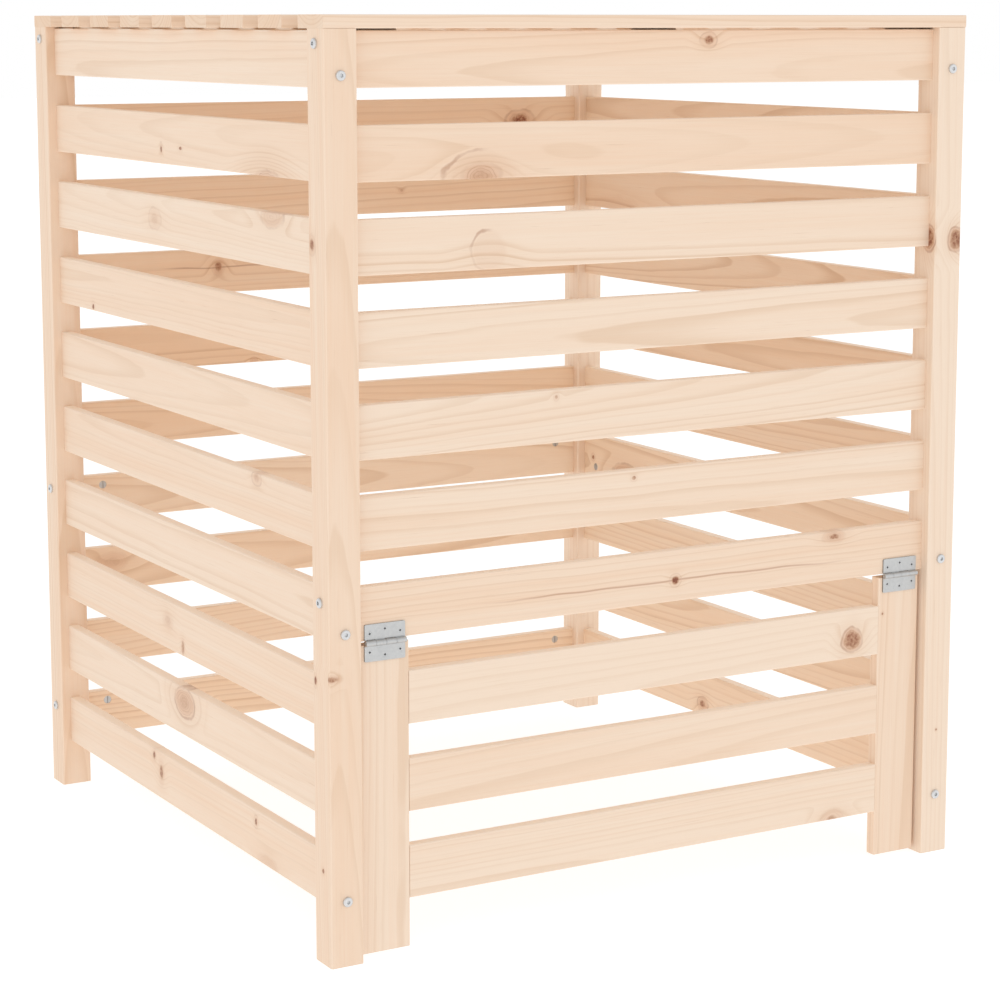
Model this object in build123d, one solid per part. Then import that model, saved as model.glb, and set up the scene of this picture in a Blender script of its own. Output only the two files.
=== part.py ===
from build123d import *
import os

# A slatted timber compost bin: four corner posts, rows of slats bolted and dowelled between them,
# a flap hung on two butt hinges over the lowest front rows, and a loose slatted lid.
# Sizes are in millimetres. The origin is on the ground under the bin's middle.
# The front faces -Y, and +Z is up.

# Overall sizes of the frame, measured over the posts
WIDTH = 825.0
DEPTH = 825.0
POST_HEIGHT = 981.0

# Timber sections, with the radius that eases their long edges
POST_SIDE = 38.0
POST_EASE = 2.0
BOARD_WIDTH = 58.0
BOARD_THICKNESS = 14.0
BOARD_EASE = 1.5

# Rows of slats, counted from the top; the lowest rows of the front belong to the flap
ROWS = 10
FLAP_ROWS = 3
TOP_SLAT_DROP = 2.0
GROUND_GAP = 58.0
FIXING_INSET = 13.0

# Flap: gaps to the slat above, to the posts and to the ground
FLAP_TOP_GAP = 4.5
FLAP_SIDE_GAP = 4.0
FLAP_GROUND_GAP = 5.0

# Lid: boards across, battens below that drop between the posts and the top slats
LID_BOARDS = 9
LID_CLEARANCE = 1.0

# Furniture bolts through the posts; radial clearances in timber and in the nut's thread
BOLT_DIAMETER = 6.0
BOLT_CLEARANCE = 0.3
BOLT_HEAD_DIAMETER = 11.0
BOLT_HEAD_HEIGHT = 2.8
BOLT_HEAD_EASE = 1.6
BOLT_SOCKET_ACROSS = 4.0
BOLT_SOCKET_DEPTH = 1.8
BOLT_PAST_NUT = 4.0
THREAD_CLEARANCE = 0.03

# Barrel nuts, let into the slats from inside
NUT_DIAMETER = 10.0
NUT_FROM_END = 30.0
NUT_SKIN = 2.0
NUT_SETBACK = 0.3
NUT_CLEARANCE = 0.1
NUT_SLOT_WIDTH = 1.4
NUT_SLOT_DEPTH = 1.2

# Wooden dowels; the wall is the timber left between a dowel's hole and the bolt that crosses the post
DOWEL_DIAMETER = 6.0
DOWEL_IN_SLAT = 12.0
DOWEL_WALL = 1.2
DOWEL_CLEARANCE = 0.1
DOWEL_END_GAP = 0.5
DOWEL_CHAMFER = 0.6

# Butt hinges; the barrel sinks a little into the gap between slat and flap
HINGE_WIDTH = 48.0
LEAF_REACH = 20.0
LEAF_THICKNESS = 1.4
LEAF_CORNER = 1.5
KNUCKLES = 4
KNUCKLE_GAP = 0.3
BARREL_RADIUS = 3.2
BARREL_SINK = 0.4
PIN_RADIUS = 1.6
PIN_PROUD = 0.4
PIN_SEAT_CLEARANCE = 0.02
PIN_RUNNING_CLEARANCE = 0.06

# Countersunk screws that hold the hinges
HINGE_SCREW_RADIUS = 1.5
HINGE_SCREW_LENGTH = 11.0
HINGE_SCREW_HEAD_RADIUS = 2.7
HINGE_SCREW_HEAD_HEIGHT = 1.1
HINGE_SCREW_SINK = 0.05
HINGE_SCREW_INSET = 6.0
HINGE_SCREW_NEAR = 10.0
HINGE_SCREW_FAR = 14.0

# Countersunk screws that hold the lid boards on the battens, driven from below
LID_SCREW_RADIUS = 1.75
LID_SCREW_BITE = 10.0
LID_SCREW_HEAD_RADIUS = 3.5
LID_SCREW_HEAD_HEIGHT = 2.2
LID_SCREW_SINK = 0.3
LID_SCREW_OFFSET = 14.0

# Details that both kinds of screw share
SCREW_CLEARANCE = 0.05
SCREW_END_GAP = 0.5
CROSS_SPAN = 2.6
CROSS_WIDTH = 1.0
CROSS_DEPTH = 0.8

# How far a cutter runs past the face that it opens
OVERCUT = 1.0

# Places that follow from the sizes
FIXING_OFFSET = BOARD_WIDTH / 2 - FIXING_INSET
BOLTED_ROWS = (1, ROWS - FLAP_ROWS, ROWS)
HINGE_ROW = ROWS - FLAP_ROWS
BOLT_HOLE_RADIUS = BOLT_DIAMETER / 2 + BOLT_CLEARANCE
DOWEL_HOLE_RADIUS = DOWEL_DIAMETER / 2 + DOWEL_CLEARANCE
DOWEL_HOLE_IN_POST = POST_SIDE / 2 - BOLT_HOLE_RADIUS - DOWEL_WALL
DOWEL_HOLE_IN_SLAT = DOWEL_IN_SLAT + DOWEL_END_GAP
STILE_X = WIDTH / 2 - POST_SIDE - FLAP_SIDE_GAP - BOARD_WIDTH / 2
BATTEN_X = WIDTH / 2 - POST_SIDE - LID_CLEARANCE - BOARD_WIDTH / 2
FRONT_Y = (POST_SIDE - DEPTH) / 2
PIN_TO_TIMBER = BARREL_RADIUS - BARREL_SINK
HINGE_SCREW_HEAD = (HINGE_SCREW_HEAD_RADIUS, HINGE_SCREW_HEAD_HEIGHT, HINGE_SCREW_SINK)
HINGE_SCREW = (HINGE_SCREW_RADIUS, HINGE_SCREW_LENGTH, *HINGE_SCREW_HEAD)
LID_SCREW_HEAD = (LID_SCREW_HEAD_RADIUS, LID_SCREW_HEAD_HEIGHT, LID_SCREW_SINK)
LID_SCREW = (LID_SCREW_RADIUS, BOARD_THICKNESS + LID_SCREW_BITE, *LID_SCREW_HEAD)

# Each side's turn about +Z from the front, in degrees
SIDE_ANGLE_DEG = {"front": 0, "right": 90, "back": 180, "left": -90}

# Front and back have their bolts at the slats' upper fixings, so that these clear the other sides' bolts
UPPER_BOLT_SIDES = ("front", "back")


def row_height(row):
    """Height of the middle of a row of slats."""
    highest = POST_HEIGHT - TOP_SLAT_DROP - BOARD_WIDTH / 2
    lowest = GROUND_GAP + BOARD_WIDTH / 2
    return highest - (row - 1) * (highest - lowest) / (ROWS - 1)


def rod(radius, start, end):
    """A round bar along Z, from one height to another."""
    return Pos(0, 0, start) * Cylinder(radius, end - start, align=(Align.CENTER, Align.CENTER, Align.MIN))


def board(length):
    """A planed board: length along X, thickness along Y, width along Z."""
    blank = Box(length, BOARD_THICKNESS, BOARD_WIDTH)
    return fillet(blank.edges().filter_by(Axis.X), BOARD_EASE)


def cross_recess():
    """The driver's cross, sunk from the plane of Z = 0."""
    middle = Pos(0, 0, (OVERCUT - CROSS_DEPTH) / 2)
    arm = Box(CROSS_SPAN, CROSS_WIDTH, CROSS_DEPTH + OVERCUT)
    return middle * (arm + Rot(0, 0, 90) * arm)


def screw_form(radius, length, head_radius, head_height, sink, clearance=0, end_gap=0):
    """A countersunk screw's outline with +Z out of the timber, or the hole for it when given a clearance."""
    shank = rod(radius + clearance, -length - end_gap, -sink - head_height)
    cone = Cone(radius + clearance, head_radius + clearance, head_height)
    return shank + Pos(0, 0, -sink - head_height / 2) * cone


def screw(radius, length, head_radius, head_height, sink):
    """A countersunk screw with a cross in its head."""
    return screw_form(radius, length, head_radius, head_height, sink) - Pos(0, 0, -sink) * cross_recess()


def screw_hole(radius, length, head_radius, head_height, sink):
    """The hole for a countersunk screw, open to the face that it is driven into."""
    form = screw_form(radius, length, head_radius, head_height, sink, SCREW_CLEARANCE, SCREW_END_GAP)
    return form + rod(head_radius + SCREW_CLEARANCE, -sink, OVERCUT)


# Slats and what joins them to the posts


def side_frame(side):
    """A side's own frame: X along its slats, +Y into the bin, origin on the posts' centre line."""
    across = DEPTH if side in ("front", "back") else WIDTH
    return Rot(0, 0, SIDE_ANGLE_DEG[side]) * Pos(0, (POST_SIDE - across) / 2, 0)


def slat_length(side):
    """A slat fills the space between two posts."""
    along = WIDTH if side in ("front", "back") else DEPTH
    return along - 2 * POST_SIDE


def slat_rows(side):
    """The front stops above the flap."""
    return range(1, (HINGE_ROW if side == "front" else ROWS) + 1)


def fixings(side, row):
    """(place, bolted) for the two fixings at each end of a slat.

    A place lies on the joint between post and slat, with +Z along the slat and +Y into the bin."""
    bolt_level = 1 if side in UPPER_BOLT_SIDES else -1
    found = []
    for end in (-1, 1):
        for level in (-1, 1):
            at = Pos(end * slat_length(side) / 2, 0, row_height(row) + level * FIXING_OFFSET)
            place = side_frame(side) * at * Rot(0, -90 * end, 0)
            found.append((place, row in BOLTED_ROWS and level == bolt_level))
    return found


def all_fixings(bolted):
    """Every fixing of one kind on the four sides."""
    return [
        place
        for side in SIDE_ANGLE_DEG
        for row in slat_rows(side)
        for place, is_bolt in fixings(side, row)
        if is_bolt == bolted
    ]


def nut_place():
    """A barrel nut's frame within a fixing: on the bolt's axis, with +Z towards the bin's inside."""
    return Pos(0, 0, NUT_FROM_END) * Rot(-90, 0, 0)


def slat(side, row):
    """One slat, bored at its ends for bolts with barrel nuts or for dowels."""
    blank = side_frame(side) * Pos(0, 0, row_height(row)) * board(slat_length(side))
    nut_floor = NUT_SKIN - BOARD_THICKNESS / 2
    bolt_end = NUT_FROM_END + BOLT_PAST_NUT + NUT_CLEARANCE
    bores = []
    for place, bolted in fixings(side, row):
        if bolted:
            bores.append(place * rod(BOLT_HOLE_RADIUS, -OVERCUT, bolt_end))
            nut_bore = rod(NUT_DIAMETER / 2 + NUT_CLEARANCE, nut_floor, BOARD_THICKNESS / 2 + OVERCUT)
            bores.append(place * nut_place() * nut_bore)
        else:
            bores.append(place * rod(DOWEL_HOLE_RADIUS, -OVERCUT, DOWEL_HOLE_IN_SLAT))
    if side == "front" and row == HINGE_ROW:
        bores += hinge_screw_pilots(1)
    return blank - bores


def post(x_sign, y_sign):
    """A corner post, bored for the fixings of the two sides that meet on it."""
    centre = Vector(x_sign * (WIDTH - POST_SIDE) / 2, y_sign * (DEPTH - POST_SIDE) / 2, POST_HEIGHT / 2)
    blank = Box(POST_SIDE, POST_SIDE, POST_HEIGHT)
    blank = Pos(*centre) * fillet(blank.edges().filter_by(Axis.Z), POST_EASE)

    def on_this_post(place):
        away = place.position - centre
        return max(abs(away.X), abs(away.Y)) < POST_SIDE

    through = rod(BOLT_HOLE_RADIUS, -POST_SIDE - OVERCUT, OVERCUT)
    blind = rod(DOWEL_HOLE_RADIUS, -DOWEL_HOLE_IN_POST, OVERCUT)
    bores = [place * through for place in all_fixings(True) if on_this_post(place)]
    bores += [place * blind for place in all_fixings(False) if on_this_post(place)]
    return blank - bores


def bolt():
    """A furniture bolt: a low round head with a hexagon socket, and a shank that passes the nut."""
    head = rod(BOLT_HEAD_DIAMETER / 2, -POST_SIDE - BOLT_HEAD_HEIGHT, -POST_SIDE)
    head = fillet(head.edges().group_by(Axis.Z)[0], BOLT_HEAD_EASE)
    shank = rod(BOLT_DIAMETER / 2, -POST_SIDE, NUT_FROM_END + BOLT_PAST_NUT)
    hexagon = RegularPolygon(BOLT_SOCKET_ACROSS / 2, 6, major_radius=False)
    socket = extrude(Pos(0, 0, -POST_SIDE - BOLT_HEAD_HEIGHT) * hexagon, BOLT_SOCKET_DEPTH)
    return head + shank - socket


def barrel_nut():
    """A cross dowel of steel with a threaded hole and a slot to turn it by."""
    face = BOARD_THICKNESS / 2 - NUT_SETBACK
    body = rod(NUT_DIAMETER / 2, NUT_SKIN - BOARD_THICKNESS / 2 + NUT_CLEARANCE, face)
    thread = Rot(90, 0, 0) * Cylinder(BOLT_DIAMETER / 2 + THREAD_CLEARANCE, NUT_DIAMETER + OVERCUT)
    slot = Pos(0, 0, face) * Box(NUT_DIAMETER + OVERCUT, NUT_SLOT_WIDTH, 2 * NUT_SLOT_DEPTH)
    return nut_place() * (body - thread - slot)


def dowel(start, end):
    """A wooden dowel with chamfered ends."""
    bar = rod(DOWEL_DIAMETER / 2, start, end)
    return chamfer(bar.edges().filter_by(GeomType.CIRCLE), DOWEL_CHAMFER)


# Flap


def stile_top():
    """The flap's upper end, a gap below the slat that carries its hinges."""
    return row_height(HINGE_ROW) - BOARD_WIDTH / 2 - FLAP_TOP_GAP


def flap_fixings(row):
    """Joints between a flap slat and the stiles, with +Z along the slat."""
    reach = STILE_X - BOARD_WIDTH / 2
    return [
        Pos(end * reach, FRONT_Y, row_height(row) + level * FIXING_OFFSET) * Rot(0, -90 * end, 0)
        for end in (-1, 1)
        for level in (-1, 1)
    ]


def flap_rows():
    return range(HINGE_ROW + 1, ROWS + 1)


def flap_stile(end):
    """An upright of the flap, bored for its dowels and its hinge's screws."""
    length = stile_top() - FLAP_GROUND_GAP
    blank = Pos(end * STILE_X, FRONT_Y, FLAP_GROUND_GAP + length / 2) * Rot(0, 90, 0) * board(length)
    bore = rod(DOWEL_HOLE_RADIUS, -DOWEL_HOLE_IN_SLAT, OVERCUT)
    places = [place for row in flap_rows() for place in flap_fixings(row)]
    bores = [place * bore for place in places if place.position.X * end > 0]
    bores += [pilot for pilot in hinge_screw_pilots(-1) if pilot.center().X * end > 0]
    return blank - bores


def flap_slat(row):
    """A slat of the flap, between the stiles."""
    blank = Pos(0, FRONT_Y, row_height(row)) * board(2 * STILE_X - BOARD_WIDTH)
    bore = rod(DOWEL_HOLE_RADIUS, -OVERCUT, DOWEL_HOLE_IN_SLAT)
    return blank - [place * bore for place in flap_fixings(row)]


# Hinges


def hinge_frames():
    """Both hinges' frames: X along the pin, +Y into the bin."""
    face = FRONT_Y - BOARD_THICKNESS / 2
    return [Pos(end * STILE_X, face - PIN_TO_TIMBER, stile_top() + FLAP_TOP_GAP / 2) for end in (-1, 1)]


def leaf(up, bore_clearance):
    """A leaf that reaches up (1) or down (-1) from the pin, with every second knuckle."""
    near = BARREL_RADIUS + KNUCKLE_GAP
    leaf_y = PIN_TO_TIMBER - LEAF_THICKNESS / 2
    plate = Box(HINGE_WIDTH, LEAF_THICKNESS, LEAF_REACH - near)
    corners = plate.edges().filter_by(Axis.Y).group_by(Axis.Z)[-1 if up > 0 else 0]
    made = Pos(0, leaf_y, up * (near + LEAF_REACH) / 2) * fillet(corners, LEAF_CORNER)
    pitch = HINGE_WIDTH / KNUCKLES
    width = pitch - KNUCKLE_GAP
    for number in range(1 if up > 0 else 0, KNUCKLES, 2):
        middle = Pos((number + 0.5) * pitch - HINGE_WIDTH / 2, 0, 0)
        made += middle * Rot(0, 90, 0) * Cylinder(BARREL_RADIUS, width)
        made += middle * Pos(0, leaf_y, up * near / 2) * Box(width, LEAF_THICKNESS, near)
    made -= Rot(0, 90, 0) * Cylinder(PIN_RADIUS + bore_clearance, HINGE_WIDTH + OVERCUT)
    return made - [place * screw_hole(*HINGE_SCREW) for place in leaf_screws(up)]


def leaf_screws(up):
    """The three screws of one leaf: on the leaf's face, with +Z out of the timber."""
    outer = HINGE_WIDTH / 2 - HINGE_SCREW_INSET
    spots = [(-outer, HINGE_SCREW_NEAR), (0, HINGE_SCREW_FAR), (outer, HINGE_SCREW_NEAR)]
    return [Pos(x, PIN_TO_TIMBER - LEAF_THICKNESS, up * z) * Rot(90, 0, 0) for x, z in spots]


def hinge_pin():
    """The pin, held by the upper leaf's knuckles."""
    return Rot(0, 90, 0) * Cylinder(PIN_RADIUS, HINGE_WIDTH + 2 * PIN_PROUD)


def hinge_screw_places(up):
    """The screws of both hinges' upper (1) or lower (-1) leaves."""
    return [frame * place for frame in hinge_frames() for place in leaf_screws(up)]


def hinge_screw_pilots(up):
    """Holes in the timber for those screws."""
    hole = rod(HINGE_SCREW_RADIUS + SCREW_CLEARANCE, -HINGE_SCREW_LENGTH - SCREW_END_GAP, 0)
    return [place * hole for place in hinge_screw_places(up)]


# Lid


def lid_board_places():
    """Middles of the lid boards, from the front edge to the back edge."""
    pitch = (DEPTH - BOARD_WIDTH) / (LID_BOARDS - 1)
    first = (BOARD_WIDTH - DEPTH) / 2
    return [first + number * pitch for number in range(LID_BOARDS)]


def batten_length():
    """A batten fits between the inner faces of the top slats of front and back."""
    return DEPTH - POST_SIDE - BOARD_THICKNESS - 2 * LID_CLEARANCE


def lid_screw_row(y):
    """Where a board's screws lie along the battens: amid the stretch that the two share."""
    reach = batten_length() / 2
    return (max(y - BOARD_WIDTH / 2, -reach) + min(y + BOARD_WIDTH / 2, reach)) / 2


def lid_screw_places():
    """Two screws wherever a board crosses a batten, with +Z down, out of the batten's underside."""
    under = POST_HEIGHT - BOARD_THICKNESS
    return [
        Pos(x + turn * LID_SCREW_OFFSET, lid_screw_row(y), under) * Rot(180, 0, 0)
        for x in (-BATTEN_X, 0, BATTEN_X)
        for y in lid_board_places()
        for turn in (-1, 1)
    ]


def lid_screw_holes(keep):
    """The lid screws' holes, for the pieces that keep() picks by place."""
    return [place * screw_hole(*LID_SCREW) for place in lid_screw_places() if keep(place.position)]


def lid_board(y):
    """A lid board along X, lying flat on the posts and battens."""
    flat = Pos(0, y, POST_HEIGHT + BOARD_THICKNESS / 2) * Rot(90, 0, 0) * board(WIDTH)
    return flat - lid_screw_holes(lambda at: abs(at.Y - y) < BOARD_WIDTH / 2)


def lid_batten(x):
    """A batten along Y, under the lid boards."""
    turned = Rot(0, 0, 90) * Rot(90, 0, 0) * board(batten_length())
    flat = Pos(x, 0, POST_HEIGHT - BOARD_THICKNESS / 2) * turned
    return flat - lid_screw_holes(lambda at: abs(at.X - x) < BOARD_WIDTH / 2)


# The assembly: every node's name with its solids

nodes = {}
for depth_name, y_sign in (("front", -1), ("back", 1)):
    for width_name, x_sign in (("left", -1), ("right", 1)):
        nodes[f"post_{depth_name}_{width_name}"] = [post(x_sign, y_sign)]
for side in SIDE_ANGLE_DEG:
    for row in slat_rows(side):
        nodes[f"{side}_slat_{row}"] = [slat(side, row)]

nodes["post_bolts"] = [place * bolt() for place in all_fixings(True)]
nodes["barrel_nuts"] = [place * barrel_nut() for place in all_fixings(True)]
slat_dowel = dowel(DOWEL_END_GAP - DOWEL_HOLE_IN_POST, DOWEL_IN_SLAT)
nodes["slat_dowels"] = [place * slat_dowel for place in all_fixings(False)]

nodes["flap_stile_left"] = [flap_stile(-1)]
nodes["flap_stile_right"] = [flap_stile(1)]
for number, row in enumerate(flap_rows(), 1):
    nodes[f"flap_slat_{number}"] = [flap_slat(row)]
flap_dowel = dowel(-DOWEL_IN_SLAT, DOWEL_IN_SLAT)
nodes["flap_dowels"] = [place * flap_dowel for row in flap_rows() for place in flap_fixings(row)]

nodes["hinge_frame_leaves"] = [frame * leaf(1, PIN_SEAT_CLEARANCE) for frame in hinge_frames()]
nodes["hinge_flap_leaves"] = [frame * leaf(-1, PIN_RUNNING_CLEARANCE) for frame in hinge_frames()]
nodes["hinge_pins"] = [frame * hinge_pin() for frame in hinge_frames()]
for name, up in (("frame_hinge_screws", 1), ("flap_hinge_screws", -1)):
    nodes[name] = [place * screw(*HINGE_SCREW) for place in hinge_screw_places(up)]

nodes["lid_boards"] = [lid_board(y) for y in lid_board_places()]
for name, x in (("left", -BATTEN_X), ("middle", 0), ("right", BATTEN_X)):
    nodes[f"lid_batten_{name}"] = [lid_batten(x)]
nodes["lid_screws"] = [place * screw(*LID_SCREW) for place in lid_screw_places()]

os.makedirs("parts", exist_ok=True)
for name, pieces in nodes.items():
    solids = [solid for piece in pieces for solid in piece.solids()]
    export_step(solids[0] if len(solids) == 1 else Compound(solids), f"parts/{name}.step")
    print(name, len(solids), "solids", round(sum(solid.volume for solid in solids)), "mm3")
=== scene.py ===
# %% [markdown]
# # A slatted compost bin in raw pine
# The bin is square: four posts carry slats with air gaps between them, a flap at the bottom of
# the front swings out to take the compost, and a slatted lid lies loose on top.
# Every shape here is a real timber or fitting, so the imported model supplies all of them, and this
# lesson gives them their finishes, their light and the camera.
# The box around the model is kept now; the lamps later face its middle.

# %% Load the imported model
import math
import random
from collections import namedtuple

import bpy
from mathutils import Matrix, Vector


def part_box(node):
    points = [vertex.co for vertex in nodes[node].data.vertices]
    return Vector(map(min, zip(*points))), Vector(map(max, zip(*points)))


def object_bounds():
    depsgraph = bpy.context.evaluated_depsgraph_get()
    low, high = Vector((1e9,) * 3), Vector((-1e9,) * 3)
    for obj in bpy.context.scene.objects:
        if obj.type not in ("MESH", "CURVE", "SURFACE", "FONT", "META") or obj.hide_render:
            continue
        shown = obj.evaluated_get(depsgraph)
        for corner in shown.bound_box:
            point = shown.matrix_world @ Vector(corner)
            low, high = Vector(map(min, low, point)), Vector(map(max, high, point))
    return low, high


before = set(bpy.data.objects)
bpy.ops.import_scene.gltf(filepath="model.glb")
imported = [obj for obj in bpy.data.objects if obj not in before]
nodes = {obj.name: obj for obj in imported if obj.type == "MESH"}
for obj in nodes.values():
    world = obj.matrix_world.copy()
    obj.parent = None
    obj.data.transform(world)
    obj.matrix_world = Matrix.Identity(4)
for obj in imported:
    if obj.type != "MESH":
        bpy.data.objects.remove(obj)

cad_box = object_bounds()
print(len(nodes), "nodes, box in metres", [round(side, 4) for side in cad_box[1] - cad_box[0]])

# %% [markdown]
# ## Shader maths as Python
# Timber is a solid with a pattern all through it, so its finish is a formula of the place in the
# board. Wiring a formula by hand takes dozens of Math nodes that nobody can read afterwards.
# A small class that stands for one wire lets Python's own plus and times add those nodes, and one
# method makes every other kind of node.

# %% A wire of a shader
def plug(tree, node, sockets):
    """Gives each named socket of a node its value, or its link where the value is a wire."""
    for name, value in sockets.items():
        if isinstance(value, Wire):
            tree.links.new(value.socket, node.inputs[name])
        else:
            node.inputs[name].default_value = value


class Wire:
    """One output socket in a material, or the bare start of one: sums of wires add Math nodes."""

    def __init__(self, tree, socket=None):
        self.tree = tree
        self.socket = socket

    def node(self, kind, settings=None, sockets=None, output=0):
        """Adds a node: its settings first, then the values or links of its sockets."""
        made = self.tree.nodes.new(kind)
        for name, value in (settings or {}).items():
            setattr(made, name, value)
        plug(self.tree, made, sockets or {})
        return Wire(self.tree, made.outputs[output])

    def sibling(self, output):
        """Another output of the node that this wire leaves."""
        return Wire(self.tree, self.socket.node.outputs[output])

    def math(self, operation, first, second=0.0):
        return self.node("ShaderNodeMath", {"operation": operation}, {0: first, 1: second})

    def __add__(self, value):
        return self.math("ADD", self, value)

    def __radd__(self, value):
        return self.math("ADD", value, self)

    def __sub__(self, value):
        return self.math("SUBTRACT", self, value)

    def __rsub__(self, value):
        return self.math("SUBTRACT", value, self)

    def __mul__(self, value):
        return self.math("MULTIPLY", self, value)

    def __rmul__(self, value):
        return self.math("MULTIPLY", value, self)

    def __truediv__(self, value):
        return self.math("DIVIDE", self, value)

    def __rtruediv__(self, value):
        return self.math("DIVIDE", value, self)

    def __abs__(self):
        return self.math("ABSOLUTE", self)


print("wires are ready")

# %% [markdown]
# A few shapes come back in every finish: a soft step between two values, the larger of two masks,
# a blend of two colours, and noise that may be stretched along one direction.
# Noise is fed with a place that is already divided by the size of its lumps, so that each size is
# written in millimetres where it is used.

# %% Soft steps, blends and noise
def smooth(value, low, high):
    """0 at low, 1 at high, and a soft step between them."""
    ends = {"Value": value, "From Min": low, "From Max": high}
    return value.node("ShaderNodeMapRange", {"interpolation_type": "SMOOTHSTEP"}, ends)


def length_of(first, second):
    return first.math("SQRT", first * first + second * second)


def larger(first, second):
    return second.math("MAXIMUM", first, second)


def blend(share, first, second):
    """The first colour where share is 0 and the second where it is 1."""
    settings = {"data_type": "RGBA", "clamp_factor": True}
    return share.node("ShaderNodeMix", settings, {0: share, 6: first, 7: second}, output=2)


def noise(along, across, through, detail=2.0):
    """Noise about 0, from a place counted in lumps."""
    place = across.node("ShaderNodeCombineXYZ", sockets={0: along, 1: across, 2: through})
    lumps = {"Vector": place, "Scale": 1.0, "Detail": detail}
    return place.node("ShaderNodeTexNoise", sockets=lumps) - 0.5


def line_noise(place):
    """Noise about 0 along a line, from a place counted in lumps."""
    lumps = {"W": place, "Scale": 1.0, "Detail": 1.0}
    return place.node("ShaderNodeTexNoise", {"noise_dimensions": "1D"}, lumps) - 0.5


def chance_of(number):
    """A number from 0 to 1 that belongs to a whole number."""
    return number.node("ShaderNodeTexWhiteNoise", {"noise_dimensions": "1D"}, {"W": number})


print("blends and noise are ready")

# %% [markdown]
# ## Where a point lies in its board
# The grain of a board runs along its length, so each board needs coordinates of its own: along
# the grain, across the face and through the thickness, in millimetres from the board's middle.
# A board's sides tell which is which: the longest is along and the shortest is through.
# Object coordinates move with the board, so the grain stays put when the flap swings.

# %% A board's own coordinates
MM = 1000.0

Board = namedtuple("Board", "name middle half axes")


def board_of(node):
    """A node's middle in metres, half its sides in millimetres, and its axes by length."""
    low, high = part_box(node)
    half = [round(side * MM / 2, 2) for side in high - low]
    axes = sorted(range(3), key=lambda axis: (-half[axis], axis))
    return Board(node, (low + high) / 2, [half[axis] for axis in axes], axes)


def board_wires(start, board):
    """Along, across and through, in millimetres from the board's middle."""
    place = start.node("ShaderNodeTexCoord", output="Object")
    settings = {"operation": "SUBTRACT"}
    from_middle = start.node("ShaderNodeVectorMath", settings, {0: place, 1: board.middle})
    scaled = {0: from_middle, "Scale": MM}
    in_mm = start.node("ShaderNodeVectorMath", {"operation": "SCALE"}, scaled)
    split = start.node("ShaderNodeSeparateXYZ", sockets={0: in_mm})
    return [split.sibling(axis) for axis in board.axes]


sample = board_of("front_slat_1")
print("a slat is", [2 * half for half in sample.half], "mm long, wide and thick")

# %% [markdown]
# ## Growth rings
# A tree adds one ring a year around its pith: pale wood in spring, then a thin honey-coloured
# line in summer. A board is a flat cut through those nested cylinders, which is why its face shows
# long lines and arches and its end shows arcs. A flat picture of lines would break at every edge,
# so the rings are worked out here as distance from a pith line that lies beside the board and
# leans a little. Slow noise bends the stem, and quick noise makes the lines waver.

# %% Rings around a pith that lies beside the board
Grain = namedtuple("Grain", "late tone fibre streak")


def growth_rings(along, across, through, bumps, draw):
    """Summer lines, the tone of each year's wood, fibres and streaks, for one board."""
    stretch = along + draw(-9000.0, 9000.0)
    stem = noise(stretch / 360.0, across / 80.0, through / 80.0) * 12.0
    waver = noise(stretch / 110.0, across / 20.0, through / 20.0) * 1.8
    side = across - draw(-45.0, 45.0) - along * draw(-0.02, 0.02) + stem
    depth = through - draw(18.0, 60.0) - along * draw(-0.035, 0.035)
    years = (length_of(side, depth) + waver + bumps) / draw(3.6, 6.4)
    uneven = years + line_noise(years * 0.3) * 1.4
    season = uneven.math("FRACT", uneven)
    strength = chance_of(uneven.math("FLOOR", uneven))
    late = smooth(season, 0.5, 0.92) * smooth(season, 1.0, 0.93) * strength
    tone = line_noise(uneven * 0.45)
    fibre = noise(stretch / 45.0, across / 0.8, through / 0.8)
    broad = noise(stretch / 420.0, across / 22.0, through / 22.0)
    narrow = noise(stretch / 190.0, across / 2.6, through / 2.6)
    return Grain(late, tone, fibre, broad + narrow * 0.8)


print("a board's grain has", ", ".join(Grain._fields))

# %% [markdown]
# ## Knots
# A knot is the root of a branch: a small cylinder of darker wood that crosses the board, with its
# own rings, a dark rim of bark, and grain that flows around it like water around a stone.
# It could be painted on as a brown spot, but then the lines would run straight through it.
# Here each knot also lifts the distance from the pith around it, so the rings bend by themselves.
# Large knots have no thicker bark than middling ones. Some knots keep their bark on one side only,
# and from some a thin line of resin runs along the grain.

# %% One board's knots
# Places, size and streak are in millimetres, and stretch is the length over the width. Wood, heart
# and rim are strengths, and core is the heart's share of the knot. Side is -1 for a knot in a
# post's left face, and 0 for all others.
Knot = namedtuple("Knot", "along aside size stretch wood heart core rim side streak half_rim",
                  defaults=(1.2, 0.5, 0.8, 0.45, 1.0, 0, 0.0, False))
Marks = namedtuple("Marks", "bumps wood heart rings halo")
KNOT_DEPTH = 7.0
LARGE_KNOT = 15.0


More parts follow.
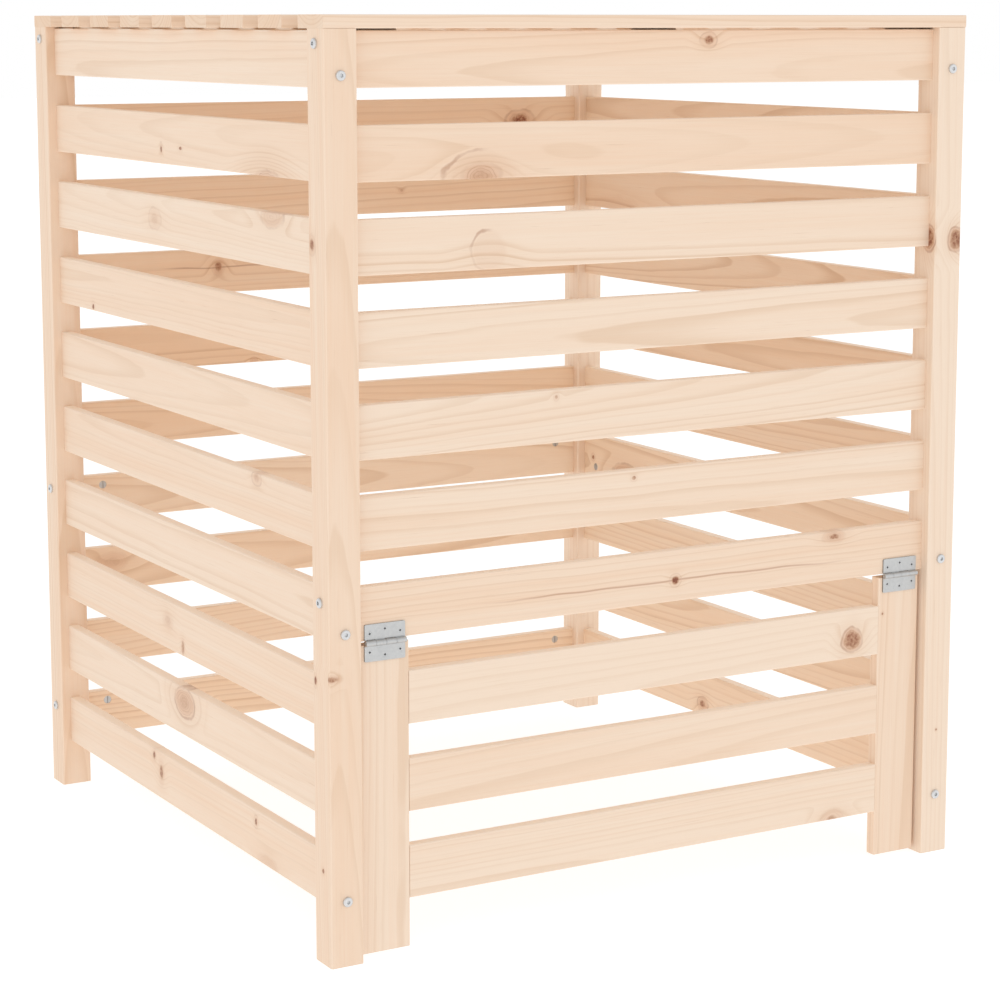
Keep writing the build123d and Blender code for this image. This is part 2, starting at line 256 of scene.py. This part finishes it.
def knot_marks(board, along, across, through, knots):
    """How far the knots push the rings away, and masks of their wood, hearts, rings and halos."""
    bumps = wood = heart = rings = halo = 0.0
    ragged = noise(along / 15.0, across / 15.0, through / 15.0) * 0.5
    mottled = noise(along / 3.4, across / 3.4, through / 3.4, 3.0) * 1.5
    patchy = smooth(noise(along / 24.0, across / 24.0, through / 24.0), -0.16, 0.12)
    wander = noise(along / 160.0, across / 300.0, through / 300.0) * 14.0
    for knot in knots:
        aside = through if knot.side else across
        lengthways = (along - knot.along) / (knot.size * knot.stretch)
        sideways = (aside - knot.aside) / knot.size
        reach = length_of(lengthways, sideways)
        if board.half[2] > KNOT_DEPTH:
            inwards = board.half[1] - across * knot.side if knot.side else board.half[2] + through
            reach = reach + smooth(inwards, 1.0, KNOT_DEPTH) * 3.0
        eddy = length_of(lengthways / 3.0, sideways / 2.1)
        bumps = bumps + smooth(eddy, 1.0, 0.1) * (knot.size * knot.wood * 1.3)
        fine = min(1.0, LARGE_KNOT / knot.size)
        edge = reach + ragged * fine
        wood = larger(wood, smooth(edge, 1.05, 0.75) * knot.wood)
        heart = larger(heart, smooth(edge, knot.core * 1.5, knot.core * 0.6) * (0.8 + mottled) * knot.heart)
        age = edge * (knot.size / 3.2)
        line = smooth(age.math("PINGPONG", age, 0.5), 0.3, 0.5) * smooth(edge, 1.0, 0.9) * 0.8
        outline = smooth(abs(edge - 1.0), 0.16 * fine, 0.02) * (0.25 + patchy * 0.75)
        if knot.half_rim:
            outline = outline * smooth(lengthways, 0.3, -0.4)
        rings = larger(rings, larger(line * knot.wood, outline * knot.rim) * knot.wood)
        if knot.streak:
            thin = smooth(abs(aside - knot.aside + wander), 1.5, 0.3) * 0.8
            rings = larger(rings, thin * smooth(abs(along - knot.along), knot.streak, knot.streak * 0.5))
        halo = larger(halo, smooth(reach, 2.4, 0.8) * knot.wood)
    return Marks(bumps, wood, heart, rings, halo)


print("a knot has", ", ".join(Marks._fields))

# %% [markdown]
# ## Pine
# Fresh planed pine is a pale cream with a rosy cast, paler in spring wood than in summer wood.
# One pattern on every board would look like printed film, because no two real boards match.
# So every board draws its own numbers from a generator that is seeded with its name: where the
# pith lies, how wide the rings are, how rosy it is. The lid's boards are one node, so there the
# shader draws the numbers from the board's place in the row.

# %% A board's own numbers
def dealer(seed, number):
    """Draws a board's own numbers: plain ones, or wires where a node holds a row of boards."""
    chance = random.Random(seed)

    def draw(low, high):
        if number is None:
            return chance.uniform(low, high)
        return low + chance_of(number + chance.randint(1, 999)) * (high - low)

    return draw


print("the first front slat draws", round(dealer(sample.name, None)(0.0, 1.0), 3), "first")

# %% [markdown]
# A board's colour could be one brown with noise in it. Real pine has layers that are each laid over
# the last one here: the board's own tone, the summer lines, fibres, short dark dashes where resin
# canals were cut, and then the knots. The boards of the right side and the back, seen from inside
# the bin, are painted brighter and more golden as painted bounce light, and a few boards have mild
# rings. The narrow faces of slats and the eased arrises are painted paler as painted light, and sawn
# ends are darker because open pores swallow light.

# %% The colour of a board and of its knots
CREAMY_PINE = ((0.885, 0.72, 0.575, 1.0), (0.86, 0.64, 0.475, 1.0))
# Painted bounce light: the right and back sides get this brighter, more golden pine and stronger summer
# lines.
BOUNCE_LIT_PINE = ((0.925, 0.755, 0.59, 1.0), (0.905, 0.68, 0.49, 1.0))
BOUNCE_LIT_SIDES = ("right", "back")
BOUNCE_LIT_CONTRAST = 0.15
SUMMER = (0.63, 0.39, 0.215, 1.0)
RESIN = (0.38, 0.19, 0.10, 1.0)
KNOT_WOOD = (0.66, 0.39, 0.25, 1.0)
KNOT_RING = (0.40, 0.18, 0.10, 1.0)
KNOT_STAIN = (0.56, 0.30, 0.165, 1.0)
KNOT_HEART = (0.24, 0.082, 0.045, 1.0)
HALO = (0.70, 0.45, 0.29, 1.0)
SAWN_END = (0.55, 0.37, 0.23, 1.0)
# Painted light: the paler pine towards which the arrises and narrow faces are blended.
PAINTED_EDGE_LIGHT = (1.0, 0.86, 0.715, 1.0)
TONE_SHIFT = 0.4
ROSY_BOARDS = ("front_slat_1", "front_slat_2", "flap_stile_right", "left_slat_2", "left_slat_6",
               "left_slat_10", "back_slat_5", "back_slat_6", "post_front_left", "lid_boards")
CREAMY_BOARDS = ("front_slat_3", "flap_slat_1", "flap_stile_left", "left_slat_1", "left_slat_3",
                 "post_front_right")
MILD_BOARDS = ("post_front_right", "flap_slat_1", "flap_slat_3", "left_slat_9")
MILD_SHARE = 0.5


def pine_colour(name, grain, halo, edge_light, ends, draw):
    """The board's own tone, then its rings, darker near knots, fibres, resin, painted light on its arrises
    and narrow faces, and its ends.
    """
    # Painted bounce light: the right and back sides take the brighter, more golden pine.
    bounce_lit = name.startswith(BOUNCE_LIT_SIDES)
    shift = TONE_SHIFT * ((name in ROSY_BOARDS) - (name in CREAMY_BOARDS))
    mild = MILD_SHARE if name in MILD_BOARDS else 1.0
    rosy = grain.streak * 0.9 + grain.tone * (0.9 * mild) + draw(0.1, 0.7) + shift
    colour = blend(rosy, *(BOUNCE_LIT_PINE if bounce_lit else CREAMY_PINE))
    contrast = draw(0.15, 0.48) + BOUNCE_LIT_CONTRAST * bounce_lit
    colour = blend(grain.late * (contrast + halo * 0.5) * mild, colour, SUMMER)
    colour = blend(smooth(grain.fibre, 0.02, 0.3) * 0.12, colour, SUMMER)
    colour = blend(smooth(grain.fibre, 0.235, 0.27) * draw(0.0, 0.3), colour, RESIN)
    # Painted light: the arrises and narrow faces turn paler.
    colour = blend(edge_light, colour, PAINTED_EDGE_LIGHT)
    return blend(ends * 0.12, colour, SAWN_END)


def knot_colour(colour, marks):
    """A board's colour with its knots: their halos, their wood and its rings, and stained hearts."""
    colour = blend(marks.halo * 0.28, colour, HALO)
    colour = blend(marks.wood * 0.6, colour, KNOT_WOOD)
    colour = blend(marks.rings * 0.65, colour, KNOT_RING)
    colour = blend(marks.heart * 1.1, colour, KNOT_STAIN)
    return blend(marks.heart * marks.heart, colour, KNOT_HEART)


print("pine draws from", CREAMY_PINE[0][:3], "to", SUMMER[:3])

# %% [markdown]
# A planed board has a faint gloss that follows its fibres, and its summer lines stand up a hair.
# Colour, gloss and relief could be three patterns, but then they would not meet. Here one grain
# drives all three. The relief is a bump in the shader, so that the board keeps its size.

# %% The finish of one board
UPRIGHT = 2
EDGE_WIDTH = 2.0
# Painted light: the shares of paler pine on the eased arrises and on the narrow faces.
EDGE_LIGHT_SHARE = 0.4
NARROW_FACE_LIGHT_SHARE = 0.85


def new_finish(name):
    """An empty material, the start of its wires and its shader."""
    material = bpy.data.materials.new(name)
    material.use_nodes = True
    return material, Wire(material.node_tree), material.node_tree.nodes["Principled BSDF"]


def wear(node, material):
    """Puts a finish on a node in the place of the plain one that it was packed with."""
    nodes[node].data.materials.clear()
    nodes[node].data.materials.append(material)


def pine(board, knots, row=None):
    """The finish of a board with its knots, or of a row of boards set a pitch apart."""
    material, start, shader = new_finish("pine_" + board.name)
    along, across, through = board_wires(start, board)
    marks = knot_marks(board, along, across, through, knots)
    number = None
    half_width = board.half[1]
    if row is not None:
        number = across.math("ROUND", across / row.pitch)
        across = across - number * row.pitch
        half_width = row.half_width
    draw = dealer(board.name, number)
    grain = growth_rings(along, across, through, marks.bumps, draw)
    # Painted light: the eased arrises, and the narrow faces of boards that lie, are blended towards a paler
    # pine.
    near_side = smooth(abs(across), half_width - EDGE_WIDTH, half_width)
    near_face = smooth(abs(through), board.half[2] - EDGE_WIDTH, board.half[2])
    edge_light = near_side * near_face * EDGE_LIGHT_SHARE
    if row is None and half_width > board.half[2] and board.axes[0] != UPRIGHT:
        narrow_face = smooth(abs(across), half_width - 0.6, half_width - 0.1)
        edge_light = larger(edge_light, narrow_face * NARROW_FACE_LIGHT_SHARE)
    ends = smooth(abs(along), board.half[0] - 0.8, board.half[0] - 0.3)
    colour = pine_colour(board.name, grain, marks.halo, edge_light, ends, draw)
    if knots:
        colour = knot_colour(colour, marks)
    rough = 0.56 + grain.fibre * 0.22 - grain.late * 0.08 + ends * 0.16 - marks.heart * 0.1
    height = grain.late * 0.35 + grain.fibre * 0.9 + marks.heart * 0.5 - marks.rings * 0.4
    relief = {"Strength": 0.3, "Distance": 0.0002, "Height": height}
    normal = start.node("ShaderNodeBump", sockets=relief)
    plug(start.tree, shader, {"Base Color": colour, "Roughness": rough, "Normal": normal})
    plug(start.tree, shader, {"Specular IOR Level": 0.3})
    wear(board.name, material)
    return len(material.node_tree.nodes)


print("the finish of a board is ready")

# %% [markdown]
# ## Which knots show where
# The sides that the photograph shows carry knots that a viewer would recognise. Chance would put
# them anywhere, so they are given one by one, in millimetres from the middle of their board. Boards
# that show no knot are listed as plain. A post's knots may come out on its side instead of its
# front.

# %% The knots that are given one by one
PLAIN_BOARDS = ("front_slat_4", "flap_slat_2", "flap_stile_left", "left_slat_1", "left_slat_5",
                "left_slat_7", "right_slat_2", "right_slat_4", "back_slat_6", "back_slat_7",
                "back_slat_9", "post_back_left", "post_back_right")
PLACED_KNOTS = {name: [] for name in PLAIN_BOARDS}
PLACED_KNOTS.update({
    "front_slat_1": [Knot(62, 18, 9, 1.3, 0.45, 0.9)],
    "front_slat_2": [
        Knot(-225, -27, 15, 1.6, 0.85, 0.35, rim=0.3),
        Knot(-222, -29, 30, 1.6, 0.2, 0.0, rim=3.6, half_rim=True),
    ],
    "front_slat_3": [Knot(-214, -9, 22, 1.0, 0.2, 0.0, rim=4.0, half_rim=True)],
    "front_slat_5": [Knot(-131, 21, 5, 0.8, 0.25, 0.5)],
    "front_slat_6": [Knot(-31, 20, 4, 1.2, 0.2, 0.7)],
    "front_slat_7": [
        Knot(25, -5, 8, 1.0, 0.3, 1.2, 0.5, streak=270),
        Knot(246, 23, 8, 2.0, 0.55, 0.8, 0.4, 0.3),
    ],
    "flap_slat_1": [Knot(274, -7, 15, 0.95, 0.8, 0.88, 0.68)],
    "flap_slat_3": [Knot(250, -29, 13, 1.5, 0.45, 0.55, 0.35, 0.2)],
    "flap_stile_right": [Knot(125, -23, 3, 1.0, 0.2, 0.9)],
    "left_slat_2": [
        Knot(37, -12, 8, 0.6, 0.3, 1.1),
        Knot(-19, -9, 4, 2.0, 0.15, 0.9),
        Knot(-250, -52, 30, 1.5, 1.0, 0.0, rim=0.5),
    ],
    "left_slat_3": [Knot(61, 2, 13, 1.5, 0.25, 0.2), Knot(-262, 24, 12, 2.4, 0.5, 0.0)],
    "left_slat_4": [Knot(262, -24, 7, 0.9, 0.2, 1.2)],
    "left_slat_6": [Knot(-214, 24, 9, 1.4, 0.35, 0.3)],
    "left_slat_8": [Knot(43, 6, 12, 1.4, 0.3, 0.25, rim=0.3), Knot(-1, -18, 11, 0.5, 0.35, 0.6, 0.6, 0.2)],
    "left_slat_9": [Knot(-3, 11, 18, 1.6, 0.75, 0.35)],
    "left_slat_10": [
        Knot(93, 20, 10, 0.8, 0.25, 0.95, rim=0.2),
        Knot(72, 4, 18, 0.6, 0.3, 0.85, rim=0.2),
        Knot(-200, 15, 8, 0.7, 0.25, 1.0),
        Knot(-232, -29, 14, 2.0, 0.35, 0.0, rim=0.3),
    ],
    "back_slat_2": [Knot(285, -4, 16, 1.5, 0.6, 1.0, 0.55)],
    "back_slat_4": [Knot(-176, 5, 12, 0.8, 0.5, 0.8, rim=0.4, streak=90)],
    "back_slat_8": [Knot(-334, 8, 13, 1.8, 0.4, 0.2, rim=0.3)],
    "right_slat_3": [Knot(300, -30, 22, 3.0, 0.25, 0.0, rim=0.2)],
    "right_slat_7": [Knot(352, -3, 6, 1.0, 0.3, 0.9), Knot(262, -16, 16, 2.4, 0.6, 0.5)],
    "right_slat_10": [Knot(69, -14, 11, 1.2, 0.6, 0.8)],
    "post_front_right": [
        Knot(246, 12, 12, 1.2, 0.9, 0.92, 0.66),
        Knot(248, -8, 11, 1.5, 0.9, 0.95, 0.66, side=-1),
        Knot(-340, 0, 3, 1.0, 0.2, 0.9),
    ],
    "post_front_left": [
        Knot(272, 11, 9, 1.3, 0.45, 0.85, rim=0.4, side=-1),
        Knot(-185, 13, 5, 1.8, 0.3, 1.1, side=-1),
        Knot(-388, -1, 4, 1.2, 0.3, 1.0, side=-1),
        Knot(-178, -16, 13, 0.45, 0.35, 0.8, 0.5, 0.1),
    ],
})
print(sum(len(knots) for knots in PLACED_KNOTS.values()), "knots are placed by hand")

# %% [markdown]
# The other boards get their knots by chance, none to two each, and small ones more often than
# large ones. The generator is seeded, so that every run deals the same boards.

# %% Knots by chance, and pine on every board
BOARD_NAMES = ("post_front", "post_back", "left_slat", "right_slat", "back_slat", "front_slat",
               "flap_slat", "flap_stile", "lid_batten")
MOST_BOARD_KNOTS = 2


def chance_knots(board, most):
    """Up to most knots, anywhere in the board but its ends."""
    chance = random.Random("knots of " + board.name)
    knots = []
    for _ in range(chance.randint(0, most)):
        along = chance.uniform(-0.85, 0.85) * board.half[0]
        aside = chance.uniform(-0.95, 0.95) * board.half[1]
        size = 4.0 + 11.0 * chance.random() ** 2
        stretch = chance.uniform(0.8, 1.6)
        knots.append(Knot(along, aside, size, stretch, chance.uniform(0.2, 0.7), chance.random()))
    return knots


pine_nodes = [name for name in nodes if name.startswith(BOARD_NAMES)]
for name in pine_nodes:
    board = board_of(name)
    pine(board, PLACED_KNOTS.get(name, chance_knots(board, MOST_BOARD_KNOTS)))
print("pine on", len(pine_nodes), "single boards")

# %% [markdown]
# The lid's boards share one node, and a node takes one finish. They could be cut apart, but they
# lie a fixed pitch apart, which the node's depth and the width of one slat give, so the shader can
# tell the boards from each other.

# %% Pine on the lid's boards
Row = namedtuple("Row", "pitch half_width")
LID_BOARDS = 9
MOST_LID_KNOTS = 12

lid = board_of("lid_boards")
slat_half_width = sample.half[1]
lid_row = Row(2 * (lid.half[1] - slat_half_width) / (LID_BOARDS - 1), slat_half_width)
made = pine(lid, chance_knots(lid, MOST_LID_KNOTS), lid_row)
print("lid boards are", round(lid_row.pitch, 2), "mm apart, in", made, "nodes")

# %% [markdown]
# ## Zinc-plated steel
# Hinges, bolts, nuts and screws are bright zinc on steel: an even light grey with faint crystals
# and the odd dull patch, brighter on the turned heads of the bolts than on pressed pieces.
# A mirror would be wrong, because the plating scatters light. Cells of slightly different grey
# give the crystals, and fine noise the scuffs. On the hinges, what lies behind the front face is
# painted dark as shade: the rims of the leaves, their countersinks, and the crosses of the screws.

# %% The finish of the fittings
PRESSED_ZINC = ((0.48, 0.487, 0.49, 1.0), (0.63, 0.635, 0.63, 1.0))
TURNED_ZINC = ((0.60, 0.607, 0.615, 1.0), (0.76, 0.765, 0.77, 1.0))
# Painted shade: the dark grey given to what lies behind the hinges' front face.
RECESS_SHADE = (0.09, 0.09, 0.095, 1.0)
PRESSED_NODES = ("hinge_pins", "barrel_nuts", "lid_screws")
LEAF_NODES = ("hinge_frame_leaves", "hinge_flap_leaves")
LEAF_THICKNESS = 0.0014
CRYSTAL_SCALE = 420.0
DULL_SCALE = 90.0
SCUFF_SCALE = 900.0
HINGE_SCREW_NODES = ("frame_hinge_screws", "flap_hinge_screws")


def zinc_steel(name, tones, face=None):
    """Bright zinc with faint crystals, and painted shade on what lies deeper than a face at the front."""
    material, start, shader = new_finish(name)
    place = start.node("ShaderNodeTexCoord", output="Object")
    crystals = start.node("ShaderNodeTexVoronoi", sockets={"Vector": place, "Scale": CRYSTAL_SCALE})
    shade = start.node("ShaderNodeSeparateXYZ", sockets={0: crystals.sibling("Color")})
    patches = {"Vector": place, "Scale": DULL_SCALE, "Detail": 3.0}
    dull = start.node("ShaderNodeTexNoise", sockets=patches)
    scratches = {"Vector": place, "Scale": SCUFF_SCALE, "Detail": 2.0}
    scuffs = start.node("ShaderNodeTexNoise", sockets=scratches)
    colour = blend(shade * 0.35 + dull * 0.65, *tones)
    rough = 0.3 + dull * 0.16 + shade * 0.06
    if face is not None:
        depth = start.node("ShaderNodeSeparateXYZ", sockets={0: place}, output="Y") - face
        # Painted shade: from 0.1 mm behind the front face the colour turns dark, on rims, countersinks and
        # screw crosses.
        colour = blend(smooth(depth * MM, 0.1, 0.3), colour, RECESS_SHADE)
    relief = {"Strength": 0.12, "Distance": 0.0001, "Height": scuffs}
    normal = start.node("ShaderNodeBump", sockets=relief)
    plug(start.tree, shader, {"Base Color": colour, "Roughness": rough, "Normal": normal})
    plug(start.tree, shader, {"Metallic": 1.0})
    return material


wear("post_bolts", zinc_steel("turned_zinc", TURNED_ZINC))
pressed = zinc_steel("pressed_zinc", PRESSED_ZINC)
for name in PRESSED_NODES:
    wear(name, pressed)
fronts = {name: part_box(name)[0].y for name in HINGE_SCREW_NODES}
fronts.update({name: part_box(name)[1].y - LEAF_THICKNESS for name in LEAF_NODES})
for name, face in fronts.items():
    wear(name, zinc_steel("zinc_" + name, PRESSED_ZINC, face))
print("zinc on the bolts,", len(PRESSED_NODES), "plain fittings and", len(fronts), "pieces of the hinges")

# %% [markdown]
# ## Beech dowels
# The dowels sit inside the joints, and show only when the bin is taken apart. Turned beech has
# no rings to speak of, but small dark flecks, which fine noise gives.

# %% The finish of the dowels
BEECH = (0.66, 0.45, 0.28, 1.0)
FLECK = (0.40, 0.23, 0.13, 1.0)
DOWEL_NODES = ("slat_dowels", "flap_dowels")
FLECK_SCALE = 900.0


def beech():
    """Turned beech with short flecks."""
    material, start, shader = new_finish("dowel_beech")
    place = start.node("ShaderNodeTexCoord", output="Object")
    specks = {"Vector": place, "Scale": FLECK_SCALE, "Detail": 2.0}
    flecks = smooth(start.node("ShaderNodeTexNoise", sockets=specks), 0.52, 0.62)
    rough = 0.55 + flecks * 0.15
    plug(start.tree, shader, {"Base Color": blend(flecks * 0.6, BEECH, FLECK), "Roughness": rough})
    return material


dowel_wood = beech()
for name in DOWEL_NODES:
    wear(name, dowel_wood)
print("beech on", len(DOWEL_NODES), "sets of dowels")

# %% [markdown]
# ## Floor
# The bin stands in a white studio. A plain white floor would turn grey under the bin, where less
# light reaches it. So the floor glows as well, as a table lit from below does, which keeps it
# white between the slats and leaves only a breath of shadow under the posts.

# %% A pale floor
FLOOR_SIDE = 60.0
FLOOR_GREY = (0.4, 0.4, 0.4, 1.0)
FLOOR_GLOW = 0.77
WHITE = (1.0, 1.0, 1.0, 1.0)

floor_mesh = bpy.data.meshes.new("floor")
reach = FLOOR_SIDE / 2
corners = [(-reach, -reach, 0.0), (reach, -reach, 0.0), (reach, reach, 0.0), (-reach, reach, 0.0)]
floor_mesh.from_pydata(corners, [], [(0, 1, 2, 3)])
floor = bpy.data.objects.new("floor", floor_mesh)
bpy.context.scene.collection.objects.link(floor)

floor_paint, floor_start, floor_shader = new_finish("floor_paint")
plug(floor_start.tree, floor_shader, {"Base Color": FLOOR_GREY, "Roughness": 0.9})
plug(floor_start.tree, floor_shader, {"Specular IOR Level": 0.1})
plug(floor_start.tree, floor_shader, {"Emission Color": WHITE, "Emission Strength": FLOOR_GLOW})
floor_mesh.materials.append(floor_paint)
print("floor of", FLOOR_SIDE, "m a side")

# %% [markdown]
# ## Light
# In such a studio light comes from all around, and nothing casts a hard shadow. Lamps alone would
# leave the inside of the bin dark, so a white world gives most of the light. It is dimmer overhead,
# because the lid would outshine the sides otherwise. Two weak softboxes stand in front, to the left
# and to the right. The Standard view shows the colours as they are worked out.

# %% World and lamps
WORLD_STRENGTH = 1.0
CEILING = (0.68, 0.68, 0.68, 1.0)
SOFTBOX_SIDE = 3.0
KEY_PLACE = (-3.4, -3.0, 2.6)
KEY_WATTS = 6.0
FILL_PLACE = (3.6, -2.6, 2.2)
FILL_WATTS = 3.0

world = bpy.data.worlds.new("studio")
world.use_nodes = True
sky = Wire(world.node_tree)
direction = sky.node("ShaderNodeTexCoord", output="Generated")
up = sky.node("ShaderNodeSeparateXYZ", sockets={0: direction}, output="Z")
glow = blend(smooth(up, 0.25, 1.0), WHITE, CEILING)
plug(world.node_tree, world.node_tree.nodes["Background"], {"Color": glow, "Strength": WORLD_STRENGTH})
bpy.context.scene.world = world
bpy.context.scene.view_settings.view_transform = "Standard"


def softbox(name, place, aim, watts):
    """A square lamp that faces a point."""
    lamp = bpy.data.lights.new(name, "AREA")
    lamp.shape = "SQUARE"
    lamp.size = SOFTBOX_SIDE
    lamp.energy = watts
    box = bpy.data.objects.new(name, lamp)
    box.location = place
    box.rotation_euler = (Vector(aim) - Vector(place)).to_track_quat("-Z", "Y").to_euler()
    bpy.context.scene.collection.objects.link(box)


bin_middle = (cad_box[0] + cad_box[1]) / 2
softbox("key", KEY_PLACE, bin_middle, KEY_WATTS)
softbox("fill", FILL_PLACE, bin_middle, FILL_WATTS)
print("world at", WORLD_STRENGTH, "and two softboxes")

# %% [markdown]
# ## Camera
# The photograph looks at the front left corner from the height of the lid, 30 degrees round from
# the front, through a long lens. Its camera was level, with the lens shifted to take in what lies
# below. Here a small part of the downward look is the lens's shift and the rest is tilt, because a
# larger shift would push the bin out of the picture in every other view.

# %% The photograph's view
CAMERA_PLACE = (-1.5938, -2.8138, 0.9882)
HEADING_DEG = 29.987
DIP_DEG = 8.362
FOCAL_PIXELS = 2645.5
IMAGE_PIXELS = 1000.0
LENS_SHIFT = -0.09

camera = bpy.data.cameras.new("camera")
camera.lens = camera.sensor_width * FOCAL_PIXELS / IMAGE_PIXELS
camera.shift_y = LENS_SHIFT
camera_object = bpy.data.objects.new("camera", camera)
camera_object.location = CAMERA_PLACE
camera_object.rotation_euler = (math.radians(90.0 - DIP_DEG), 0.0, math.radians(-HEADING_DEG))
bpy.context.scene.collection.objects.link(camera_object)
bpy.context.scene.camera = camera_object
print("lens of", round(camera.lens, 1), "mm")
